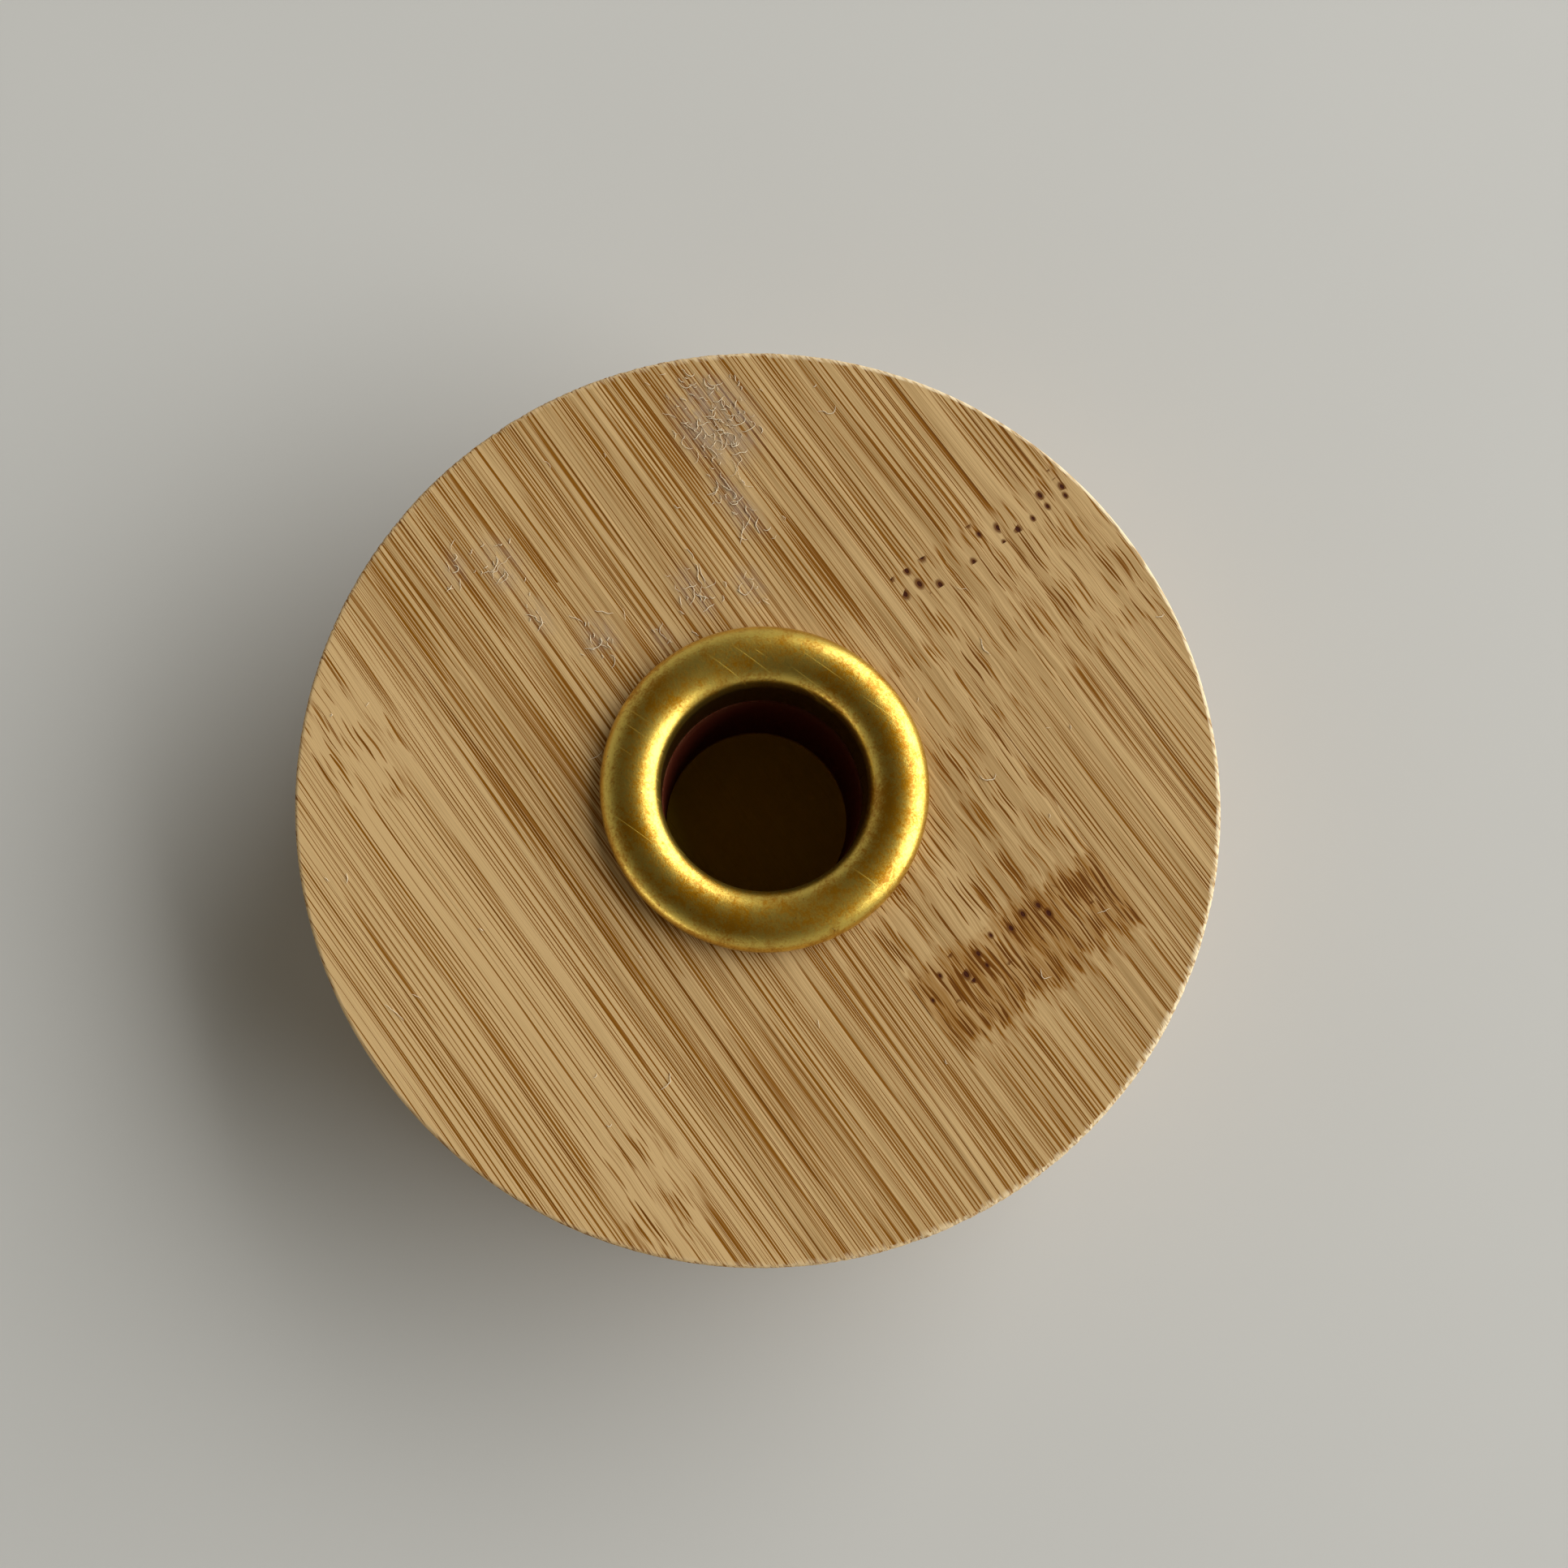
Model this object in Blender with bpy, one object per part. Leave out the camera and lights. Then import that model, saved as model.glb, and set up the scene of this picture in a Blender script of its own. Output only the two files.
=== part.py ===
"""A round holder for one taper candle, modelled in Blender.

The holder is a block turned from laminated bamboo, with a rolled brass ferrule lining the mouth of its socket.
The block is six plies thick. Each ply is a row of flat bamboo strips glued edge to edge, because a bamboo stem's
wall is too thin to give one thick plank. Every strip is its own object.

Frame: +Z is up and the origin is the centre of the underside. The bamboo's fibres, and so the strips, run along X.
Run it with blender --background --python part.py, or from Blender's text editor. Lengths are in metres.
"""

import math

import bmesh
import bpy
from mathutils import Matrix

MM = 0.001

# Driving dimensions
BLOCK_RADIUS = 50 * MM
STRIP_WIDTH = 25 * MM
STRIP_THICKNESS = 5 * MM
SOCKET_DEPTH = 26.3 * MM  # from the block's top face to the socket's floor
CANDLE_RADIUS = 11.25 * MM  # inside of the brass barrel
FERRULE_SHEET = 0.5 * MM
ROLL_WIDTH = 6.5 * MM  # the rolled lip, from its inner to its outer edge
ROLL_HEIGHT = 3 * MM  # the crest of the roll over the block's top face
BARREL_DEPTH = 7 * MM  # how far the barrel reaches below the block's top face

# Clearances and small features
GAP = 0.3 * MM  # left between pieces that touch
RIM_BREAK = 0.4 * MM  # chamfer on the block's two outer edges
SOCKET_LEDGE = 0.1 * MM  # by which the wood below the ferrule is narrower than the barrel's inside
SKIRT_HEIGHT = 0.2 * MM  # upright outer edge of the roll
OVERRUN = 2 * MM  # by which a strip's blank runs past the turned block
SHARP_EDGE = math.radians(30)  # edges sharper than this aren't shaded smooth

# Each ply from the base up: its name, and how far its glue joints are shifted across the fibres.
STAGGER = 8 * MM
PLIES = (
    ("base_ply", STRIP_WIDTH / 2),
    ("second_ply", 0),
    ("third_ply", STAGGER),
    ("fourth_ply", -STAGGER),
    ("fifth_ply", STAGGER),
    ("top_ply", 0),
)
BLOCK_HEIGHT = STRIP_THICKNESS * len(PLIES)

BLOCK_SEGMENTS = 96
FERRULE_SEGMENTS = 64
ROLL_STEPS = 10


def clear_scene():
    """Removes the objects of the scene that the script is run in."""
    for obj in list(bpy.data.objects):
        bpy.data.objects.remove(obj)


def principled(name, colour, roughness, metallic):
    """A material with one Principled BSDF."""
    material = bpy.data.materials.new(name)
    material.use_nodes = True
    shader = material.node_tree.nodes["Principled BSDF"]
    shader.inputs["Base Color"].default_value = (*colour, 1)
    shader.inputs["Roughness"].default_value = roughness
    shader.inputs["Metallic"].default_value = metallic
    return material


def link(name, bm, material=None):
    """Makes an object of a bmesh, with round faces shaded smooth."""
    bmesh.ops.recalc_face_normals(bm, faces=bm.faces)
    mesh = bpy.data.meshes.new(name)
    bm.to_mesh(mesh)
    bm.free()
    mesh.shade_smooth()
    mesh.set_sharp_from_angle(angle=SHARP_EDGE)
    if material:
        mesh.materials.append(material)
    obj = bpy.data.objects.new(name, mesh)
    bpy.context.scene.collection.objects.link(obj)
    return obj


def turned(name, profile, segments, material=None):
    """A solid of revolution about Z from a closed profile of (radius, height) points.

    A point at radius 0 is one vertex on the axis, and a profile without one makes a ring.
    """
    bm = bmesh.new()
    rings = []
    for radius, height in profile:
        if radius == 0:
            rings.append([bm.verts.new((0, 0, height))] * segments)
            continue
        turns = (2 * math.pi * step / segments for step in range(segments))
        rings.append([bm.verts.new((radius * math.cos(t), radius * math.sin(t), height)) for t in turns])
    for ring, following in zip(rings, rings[1:] + rings[:1]):
        for step in range(segments):
            after = (step + 1) % segments
            corners = (ring[step], ring[after], following[after], following[step])
            corners = list(dict.fromkeys(corners))
            if len(corners) > 2:
                bm.faces.new(corners)
    return link(name, bm, material)


def block_blank():
    """The turned block with its stepped socket: a guide that cuts every strip to shape."""
    counterbore_radius = CANDLE_RADIUS + FERRULE_SHEET + GAP
    counterbore_floor = BLOCK_HEIGHT - BARREL_DEPTH - GAP
    socket_radius = CANDLE_RADIUS - SOCKET_LEDGE
    profile = [
        (0, 0),
        (BLOCK_RADIUS - RIM_BREAK, 0),
        (BLOCK_RADIUS, RIM_BREAK),
        (BLOCK_RADIUS, BLOCK_HEIGHT - RIM_BREAK),
        (BLOCK_RADIUS - RIM_BREAK, BLOCK_HEIGHT),
        (counterbore_radius, BLOCK_HEIGHT),
        (counterbore_radius, counterbore_floor),
        (socket_radius, counterbore_floor),
        (socket_radius, BLOCK_HEIGHT - SOCKET_DEPTH),
        (0, BLOCK_HEIGHT - SOCKET_DEPTH),
    ]
    blank = turned("block_blank", profile, BLOCK_SEGMENTS)
    blank.hide_render = True
    blank.display_type = "WIRE"
    return blank


def strip_spans(shift):
    """The (low, high) Y of each strip in a ply, between glue joints a strip's width apart.

    The outer sides of the first and last strips run past the block. No joint is made within the overrun of the
    block's edge, where it would leave only a sliver.
    """
    reach = math.ceil(BLOCK_RADIUS / STRIP_WIDTH) + 1
    joints = [shift + count * STRIP_WIDTH for count in range(-reach, reach + 1)]
    joints = [joint for joint in joints if abs(joint) < BLOCK_RADIUS - OVERRUN]
    edges = [-BLOCK_RADIUS - OVERRUN, *joints, BLOCK_RADIUS + OVERRUN]
    return [(low + GAP / 2, high - GAP / 2) for low, high in zip(edges, edges[1:])]


def ply_levels(index):
    """The (low, high) Z of a ply. The outer faces of the base and top plies run past the block."""
    low = index * STRIP_THICKNESS + GAP / 2 if index else -OVERRUN
    is_top = index == len(PLIES) - 1
    high = BLOCK_HEIGHT + OVERRUN if is_top else (index + 1) * STRIP_THICKNESS - GAP / 2
    return low, high


def bamboo_strip(name, span, levels, blank, material):
    """One flat strip, sawn as a plank and then cut by the turned block."""
    size = (2 * (BLOCK_RADIUS + OVERRUN), span[1] - span[0], levels[1] - levels[0])
    centre = (0, sum(span) / 2, sum(levels) / 2)
    bm = bmesh.new()
    bmesh.ops.create_cube(bm, size=1, matrix=Matrix.LocRotScale(centre, None, size))
    strip = link(name, bm, material)
    cut = strip.modifiers.new("turned block", "BOOLEAN")
    cut.operation = "INTERSECT"
    cut.object = blank
    return strip


def roll_arc(shrink):
    """Half an ellipse over the roll, from its outer side to its inner side, shrunk inwards by a thickness."""
    centre = CANDLE_RADIUS + ROLL_WIDTH / 2
    spring_line = BLOCK_HEIGHT + GAP + SKIRT_HEIGHT
    half_width = ROLL_WIDTH / 2 - shrink
    rise = BLOCK_HEIGHT + ROLL_HEIGHT - spring_line - shrink
    turns = (math.pi * step / ROLL_STEPS for step in range(ROLL_STEPS + 1))
    return [(centre + half_width * math.cos(t), spring_line + rise * math.sin(t)) for t in turns]


def brass_ferrule(material):
    """The drawn brass sleeve: a straight barrel whose mouth is rolled over into a hollow lip."""
    outside = roll_arc(0)
    inside = roll_arc(FERRULE_SHEET)
    lip_radius = CANDLE_RADIUS + ROLL_WIDTH
    barrel_end = BLOCK_HEIGHT - BARREL_DEPTH
    lip_end = BLOCK_HEIGHT + GAP
    profile = [
        (lip_radius, lip_end),
        *outside,
        (CANDLE_RADIUS, barrel_end),
        (CANDLE_RADIUS + FERRULE_SHEET, barrel_end),
        *reversed(inside),
        (lip_radius - FERRULE_SHEET, lip_end),
    ]
    return turned("brass_ferrule", profile, FERRULE_SEGMENTS, material)


def main():
    clear_scene()
    bamboo = principled("bamboo", (0.44, 0.27, 0.10), 0.6, 0)
    brass = principled("brass", (0.62, 0.42, 0.10), 0.32, 1)
    blank = block_blank()
    for index, (ply, shift) in enumerate(PLIES):
        for number, span in enumerate(strip_spans(shift), start=1):
            bamboo_strip(f"{ply}_strip_{number}", span, ply_levels(index), blank, bamboo)
    brass_ferrule(brass)


main()
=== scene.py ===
"""The looks of a round candle holder: a turned block of laminated bamboo with a rolled brass ferrule.

Every strip of bamboo is built as a slab of its own, cut to the block's outline and to the stepped socket, and
the ferrule is a turned shell. The finishes are worked out from Object coordinates, so a bundle of fibres that
shows as a needle on the top face shows as a dot in the end grain. Lengths are in metres unless they say mm.
"""

from __future__ import annotations

import logging
import math
from dataclasses import dataclass
from enum import Enum

import bpy
import numpy as np
from mathutils import Matrix, Vector

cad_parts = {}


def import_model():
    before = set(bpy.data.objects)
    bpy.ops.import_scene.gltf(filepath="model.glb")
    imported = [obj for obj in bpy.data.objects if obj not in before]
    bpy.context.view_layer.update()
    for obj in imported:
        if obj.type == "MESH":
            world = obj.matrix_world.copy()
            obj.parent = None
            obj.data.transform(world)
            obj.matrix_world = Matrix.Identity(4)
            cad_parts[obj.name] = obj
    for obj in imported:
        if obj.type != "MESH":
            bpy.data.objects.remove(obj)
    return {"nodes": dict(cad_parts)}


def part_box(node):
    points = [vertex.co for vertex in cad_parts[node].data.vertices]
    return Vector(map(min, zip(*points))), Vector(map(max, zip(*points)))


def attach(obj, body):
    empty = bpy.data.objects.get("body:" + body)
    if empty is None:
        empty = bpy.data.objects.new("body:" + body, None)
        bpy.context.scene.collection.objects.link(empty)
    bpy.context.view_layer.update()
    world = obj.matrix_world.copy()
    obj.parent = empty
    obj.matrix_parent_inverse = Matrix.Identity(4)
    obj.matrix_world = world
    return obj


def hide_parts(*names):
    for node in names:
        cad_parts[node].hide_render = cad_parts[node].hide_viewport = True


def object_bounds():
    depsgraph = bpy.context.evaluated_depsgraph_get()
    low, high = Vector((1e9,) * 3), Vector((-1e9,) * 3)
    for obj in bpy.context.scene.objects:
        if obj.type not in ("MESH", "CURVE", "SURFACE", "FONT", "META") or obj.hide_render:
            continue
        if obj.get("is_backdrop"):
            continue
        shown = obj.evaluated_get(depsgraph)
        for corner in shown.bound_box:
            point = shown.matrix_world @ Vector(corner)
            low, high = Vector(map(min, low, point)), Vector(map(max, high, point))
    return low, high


LOG = logging.getLogger("candle_holder")
MM = 0.001
BODY = "root"
NOISE_VALUES = 4096
MERGE_STEP = 0.0005 * MM
SHARP_EDGE = math.radians(38.0)
Colour = tuple[float, float, float]
Parts = tuple["Value", "Value", "Value"]


class Slot(Enum):
    """The record's material slots."""

    BAMBOO = "bamboo"
    BRASS = "brass"


# ---------------------------------------------------------------- shader expressions


class Value:
    """A shader socket that can be used in an expression."""

    def __init__(self, graph: Graph, socket: bpy.types.NodeSocket) -> None:
        """Wraps a socket.

        Args:
            graph: The graph that the socket's node belongs to.
            socket: An output socket.
        """
        self.graph = graph
        self.socket = socket

    def __add__(self, other: Value | float) -> Value:
        """The sum of both."""
        return self.graph.math("ADD", self, other)

    def __sub__(self, other: Value | float) -> Value:
        """The other taken from this one."""
        return self.graph.math("SUBTRACT", self, other)

    def __rsub__(self, other: float) -> Value:
        """This one taken from a number."""
        return self.graph.math("SUBTRACT", other, self)

    def __mul__(self, other: Value | float) -> Value:
        """The product of both."""
        return self.graph.math("MULTIPLY", self, other)

    def __truediv__(self, other: Value | float) -> Value:
        """This one divided by the other."""
        return self.graph.math("DIVIDE", self, other)

    def __abs__(self) -> Value:
        """The distance from 0."""
        return self.graph.math("ABSOLUTE", self)

    __radd__ = __add__
    __rmul__ = __mul__

    def root(self) -> Value:
        """The square root."""
        return self.graph.math("SQRT", self)

    def clamped(self) -> Value:
        """The value held between 0 and 1."""
        return self.graph.math("ADD", self, 0.0, clamp=True)

    def rises(self, low: Value | float, high: Value | float) -> Value:
        """A smooth step from 0 at low to 1 at high."""
        inputs = {"Value": self, "From Min": low, "From Max": high}
        node = self.graph.node("ShaderNodeMapRange", {"interpolation_type": "SMOOTHSTEP"}, inputs)
        return Value(self.graph, node.outputs["Result"])

    def falls(self, low: Value | float, high: Value | float) -> Value:
        """A smooth step from 1 at low to 0 at high."""
        return 1.0 - self.rises(low, high)


class Graph:
    """The nodes of one material, with a Principled shader at their end."""

    def __init__(self, name: str) -> None:
        """Makes an empty material.

        Args:
            name: The material's name.
        """
        self.material = bpy.data.materials.new(name)
        self.material.use_nodes = True
        self.tree = self.material.node_tree
        self.shader = self.tree.nodes["Principled BSDF"]

    def node(self, kind: str, settings: dict | None = None, inputs: dict | None = None) -> bpy.types.Node:
        """Adds any node.

        Args:
            kind: The node's type.
            settings: Its properties, which are set first.
            inputs: What its sockets hold, by name or number: a number, a tuple or a Value.

        Returns:
            The node.
        """
        node = self.tree.nodes.new(kind)
        for name, setting in (settings or {}).items():
            setattr(node, name, setting)
        for key, given in (inputs or {}).items():
            self.plug(node.inputs[key], given)
        return node

    def plug(self, socket: bpy.types.NodeSocket, given: Value | float | tuple) -> None:
        """Links a Value to a socket, or sets the socket to a constant.

        Args:
            socket: The input socket.
            given: A Value, a number, or a colour or vector of three parts.
        """
        if isinstance(given, Value):
            self.tree.links.new(given.socket, socket)
        elif socket.type == "RGBA" and len(given) == 3:
            socket.default_value = (*given, 1.0)
        else:
            socket.default_value = given

    def math(self, operation: str, *terms: Value | float, clamp: bool = False) -> Value:
        """A Math node on one or two terms."""
        settings = {"operation": operation, "use_clamp": clamp}
        node = self.node("ShaderNodeMath", settings, dict(enumerate(terms)))
        return Value(self, node.outputs[0])

    def vector_math(self, operation: str, a: Value | tuple, b: Value | tuple) -> Value:
        """A Vector Math node on two vectors."""
        node = self.node("ShaderNodeVectorMath", {"operation": operation}, {0: a, 1: b})
        return Value(self, node.outputs[0])

    def split(self, vector: Value) -> Parts:
        """The three parts of a vector or a colour."""
        node = self.node("ShaderNodeSeparateXYZ", inputs={0: vector})
        return tuple(Value(self, output) for output in node.outputs)

    def joined(self, x: Value | float, y: Value | float, z: Value | float) -> Value:
        """A vector of three parts."""
        return Value(self, self.node("ShaderNodeCombineXYZ", inputs={0: x, 1: y, 2: z}).outputs[0])

    def mix(self, share: Value | float, first: Value | Colour, second: Value | Colour) -> Value:
        """The first colour where share is 0, going over to the second where it is 1."""
        node = self.node("ShaderNodeMix", {"data_type": "RGBA"}, {0: share, 6: first, 7: second})
        return Value(self, node.outputs[2])

    def attribute(self, name: str) -> Value:
        """A number that the mesh holds at each of its points, or 0 on a mesh without it."""
        return Value(self, self.node("ShaderNodeAttribute", {"attribute_name": name}).outputs["Fac"])

    def attribute_vector(self, name: str) -> Value:
        """A vector that the mesh holds at each of its points."""
        return Value(self, self.node("ShaderNodeAttribute", {"attribute_name": name}).outputs["Vector"])

    def place_mm(self) -> Value:
        """The point's Object coordinates in millimetres."""
        node = self.node("ShaderNodeTexCoord")
        return self.vector_math("MULTIPLY", Value(self, node.outputs["Object"]), (1 / MM,) * 3)

    def noise(self, vector: Value, detail: float = 2.0, roughness: float = 0.5) -> Value:
        """Smooth noise from 0 to 1, about one bump for each unit of the vector."""
        inputs = {"Vector": vector, "Scale": 1.0, "Detail": detail, "Roughness": roughness}
        return Value(self, self.node("ShaderNodeTexNoise", inputs=inputs).outputs[0])

    def scaled(self, parts: Parts, sizes: tuple[float, float, float]) -> Value:
        """A vector whose unit is one size long along each axis."""
        return self.joined(*(part / size for part, size in zip(parts, sizes)))

    def cells(self, vector: Value, scatter: float = 1.0) -> tuple[Value, Value]:
        """Cells of a random pattern, one unit across.

        Args:
            vector: The place in the pattern.
            scatter: How far a cell's centre strays from an even grid, from 0 to 1.

        Returns:
            The way from the cell's centre, and the cell's random colour.
        """
        inputs = {"Vector": vector, "Scale": 1.0, "Randomness": scatter}
        node = self.node("ShaderNodeTexVoronoi", inputs=inputs)
        centre = Value(self, node.outputs["Position"])
        return self.vector_math("SUBTRACT", vector, centre), Value(self, node.outputs["Color"])

    def bump(self, height_mm: Value) -> Value:
        """The normal of a surface raised by a height in millimetres."""
        node = self.node("ShaderNodeBump", inputs={"Strength": 1.0, "Distance": MM, "Height": height_mm})
        return Value(self, node.outputs["Normal"])

    def finish(self, **inputs: Value | float | Colour) -> bpy.types.Material:
        """Feeds the shader.

        Args:
            **inputs: What the shader's sockets hold, with underscores for the spaces in their names.

        Returns:
            The material.
        """
        for name, given in inputs.items():
            self.plug(self.shader.inputs[name.replace("_", " ")], given)
        return self.material


# ---------------------------------------------------------------- finishes


@dataclass(frozen=True)
class Needles:
    """Bundles of fibres: round threads along X, scattered over the cross-section.

    Attributes:
        length: How long a bundle is before the next one takes its place, in mm.
        pitch: The size of the cell that holds one bundle, in mm.
        thin: The smallest radius of a bundle, in mm.
        thick: The largest radius of a bundle, in mm.
        soft: How far a bundle's edge fades, in mm.
        taper: How fast a bundle narrows towards its ends. At 4 it comes to a point at its cell's end.
        spread: How much fainter the faintest bundle is than the strongest.
        scatter: How far a bundle strays from an even spacing, from 0 to 1.
    """

    length: float
    pitch: float
    thin: float
    thick: float
    soft: float
    taper: float = 2.0
    spread: float = 0.5
    scatter: float = 0.8

    def mask(self, graph: Graph, parts: Parts) -> Value:
        """Shows where the bundles are.

        The distance to the bundle's axis is the root of y squared plus z squared from the cell's centre. Its
        radius is a random share between thin and thick, and shrinks by the square of the way along the bundle.

        Args:
            graph: The material's graph.
            parts: The place in mm, with X along the fibres.

        Returns:
            Up to 1 inside a bundle, and 0 outside.
        """
        offset, random = graph.cells(graph.scaled(parts, (self.length, self.pitch, self.pitch)), self.scatter)
        along, across, up = graph.split(offset)
        share, luck, _ = graph.split(random)
        distance = (across * across + up * up).root() * self.pitch
        shape = (1.0 - along * along * self.taper).clamped()
        radius = (self.thin + share * (self.thick - self.thin)) * shape
        faint = 1.0 - luck * self.spread
        return distance.falls(radius - self.soft, radius + self.soft) * shape.rises(0.0, 0.35) * faint


@dataclass(frozen=True)
class BambooFinish:
    """Sanded, unvarnished bamboo, its colours without the light, save for painted shade on the socket's wall,
    a painted bounce light on the socket's floor and a painted highlight on the rim. Its sizes are in mm.

    Attributes:
        bundles: The long dark fibres.
        spindles: Shorter fibres that swell in their middles.
        threads: The finest fibres.
        dashes: The broken fibres beside a node.
        strokes: The dark fibres in a node's core.
        drift: How far the fibres wander across the strip.
        ripple: How far they ripple beside a node.
        darkness: The share of the deep colour between the bundles, before a strip's own tone.
        pore_pitch: The length and width of the cell that may hold one pore.
        pore_half: A pore's half length and half width.
        no_pore: The share of the cells that hold none.
    """

    pale: Colour = (0.620, 0.418, 0.190)
    deep: Colour = (0.335, 0.196, 0.066)
    needle: Colour = (0.240, 0.088, 0.003)
    burnt: Colour = (0.118, 0.034, 0.001)
    toasted: Colour = (0.290, 0.120, 0.010)
    pore: Colour = (0.055, 0.011, 0.002)
    scuffed: Colour = (0.350, 0.258, 0.180)
    fuzz: Colour = (0.80, 0.68, 0.48)
    # Painted shade on the socket's wall, dark red as if lit by light off the brass; painted brass-tinted
    # bounce light on the socket's floor.
    bore_wall_painted_shade: Colour = (0.105, 0.012, 0.006)
    bore_floor_painted_bounce_light: Colour = (0.560, 0.370, 0.012)
    glue: Colour = (0.115, 0.052, 0.016)
    # Pale torn fibres on the rim, and a painted highlight that is strongest on the rim's side towards the
    # window.
    worn_and_lit_rim: Colour = (0.88, 0.72, 0.46)
    bundles: Needles = Needles(75.0, 0.36, thin=0.05, thick=0.135, soft=0.025, taper=3.0, spread=0.35)
    spindles: Needles = Needles(22.0, 0.52, thin=0.03, thick=0.165, soft=0.04, taper=4.0, spread=0.35)
    threads: Needles = Needles(90.0, 0.22, thin=0.03, thick=0.085, soft=0.025)
    dashes: Needles = Needles(6.5, 0.30, thin=0.04, thick=0.14, soft=0.035, taper=4.0, spread=0.5)
    strokes: Needles = Needles(6.5, 0.31, thin=0.07, thick=0.17, soft=0.03, taper=4.0, spread=0.30)
    drift: float = 2.0
    ripple: float = 0.7
    darkness: float = 0.35
    pore_pitch: tuple[float, float] = (1.9, 2.2)
    pore_half: tuple[float, float] = (0.30, 0.20)
    no_pore: float = 0.50

    def material(self) -> bpy.types.Material:
        """The node material, which reads the masks that a strip's mesh holds.

        Returns:
            The strips' material.
        """
        graph = Graph("sanded_bamboo")
        place = graph.vector_math("ADD", graph.place_mm(), graph.attribute_vector("strip_shift"))
        still = graph.split(place)
        wave = graph.attribute("wave")
        parts = self.drifted(graph, still, wave)
        core = self.core_share(graph, parts, graph.attribute("streak"))
        grain = self.grain(graph, parts, wave, core)
        pores, pore_rims = self.pores(graph, still)
        scuff = self.scuffs(graph, still)
        colour = self.body_colour(graph, parts)
        colour = graph.mix(core * self.smudge(graph, parts), colour, self.toasted)
        colour = graph.mix(grain.rises(0.0, 0.75), colour, self.needle)
        colour = graph.mix(grain.rises(0.65, 1.20) * 0.85, colour, self.burnt)
        colour = graph.mix(scuff * 0.75, colour, self.scuffed)
        colour = graph.mix(pore_rims, colour, self.burnt)
        colour = graph.mix(pores, colour, self.pore)
        colour = graph.mix(graph.attribute("fuzz"), colour, self.fuzz)
        # Pale rim: real torn fibres, and a painted highlight on the side towards the window.
        colour = graph.mix(self.worn_and_lit_rim_share(graph, parts), colour, self.worn_and_lit_rim)
        colour = graph.mix(graph.attribute("glue") * 0.8, colour, self.glue)
        # Painted light in the socket: shade on its wall, and a brass-tinted bounce light on its floor that
        # hides the grain.
        colour = graph.mix(graph.attribute("bore_wall_painted_shade") * 0.90, colour, self.bore_wall_painted_shade)
        colour = graph.mix(graph.attribute("bore_floor_painted_bounce_light") * 0.95, colour, self.bore_floor_painted_bounce_light)
        fibre = graph.noise(graph.scaled(parts, (9.0, 0.11, 0.11)), detail=1.0)
        height = fibre * 0.018 - grain * 0.012 - pores * 0.04 + scuff * fibre * 0.05
        return graph.finish(
            Base_Color=colour,
            Roughness=(0.70 - grain * 0.08 + scuff * 0.15).clamped(),
            Normal=graph.bump(height),
            Specular_IOR_Level=0.10,
        )

    def drifted(self, graph: Graph, parts: Parts, wave: Value) -> Parts:
        """The grain's own coordinates: Y plus slow noise, and plus quicker noise beside a node.

        Args:
            graph: The material's graph.
            parts: The place in the strip's bamboo.
            wave: The share of a node's disorder.

        Returns:
            The three parts of the moved place.
        """
        x, y, z = parts
        slow = graph.noise(graph.scaled(parts, (80.0, 30.0, 40.0)), detail=1.0) - 0.5
        quick = graph.noise(graph.scaled(parts, (6.0, 3.0, 9.0)), detail=1.0) - 0.5
        return x, y + slow * self.drift + quick * wave * self.ripple, z

    def grain(self, graph: Graph, parts: Parts, wave: Value, core: Value) -> Value:
        """Lays the dark fibres over each other: the darkest one counts.

        Args:
            graph: The material's graph.
            parts: The grain's own coordinates.
            wave: The share of a node's disorder, which fades the long fibres and brings in the dashes.
            core: The share of a node's core, which brings in the strokes.

        Returns:
            The share of dark fibre, up to about 1.4.
        """
        fade = graph.noise(graph.scaled(parts, (30.0, 0.9, 0.9)), detail=1.0).rises(0.25, 0.62)
        ready = wave.rises(0.10, 0.75)
        clean = 1.05 - graph.attribute("strip_tone") * 0.15
        long = graph.math("MAXIMUM", self.bundles.mask(graph, parts), self.spindles.mask(graph, parts) * 0.9)
        long = long * (0.80 + fade * 0.25) * (1.0 - ready * 0.80) * clean
        thread = self.threads.mask(graph, parts) * (0.90 - ready * 0.40)
        dash = self.dashes.mask(graph, parts) * ready * 1.1
        stroke = self.strokes.mask(graph, parts) * core * 1.45
        return graph.math("MAXIMUM", graph.math("MAXIMUM", long, thread), graph.math("MAXIMUM", dash, stroke))

    def body_colour(self, graph: Graph, parts: Parts) -> Value:
        """The colour between the bundles: bands across the strip, fine fibres, and each strip's own tone.

        Args:
            graph: The material's graph.
            parts: The place in mm, with X along the fibres.

        Returns:
            The colour.
        """
        bands = graph.noise(graph.scaled(parts, (120.0, 1.5, 1.5)), detail=3.0, roughness=0.65)
        hairs = graph.noise(graph.scaled(parts, (14.0, 0.15, 0.15)), detail=2.0, roughness=0.65)
        share = (bands - 0.5) * 1.7 + (hairs - 0.5) * 2.0 + self.darkness - graph.attribute("strip_tone")
        return graph.mix(share.clamped(), self.pale, self.deep)

    def core_share(self, graph: Graph, parts: Parts, streak: Value) -> Value:
        """The toasted core of a strong node: the streak with a ragged edge."""
        edge = graph.noise(graph.scaled(parts, (5.0, 1.3, 3.0)), detail=3.0, roughness=0.6) - 0.5
        return (streak + edge * 2.2 * streak.rises(0.02, 0.2)).rises(0.20, 0.85)

    def smudge(self, graph: Graph, parts: Parts) -> Value:
        """How strongly a node's core is toasted: more on some fibres than on others."""
        return 0.20 + graph.noise(graph.scaled(parts, (9.0, 0.4, 3.0)), detail=2.0).rises(0.35, 0.65) * 0.50

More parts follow.
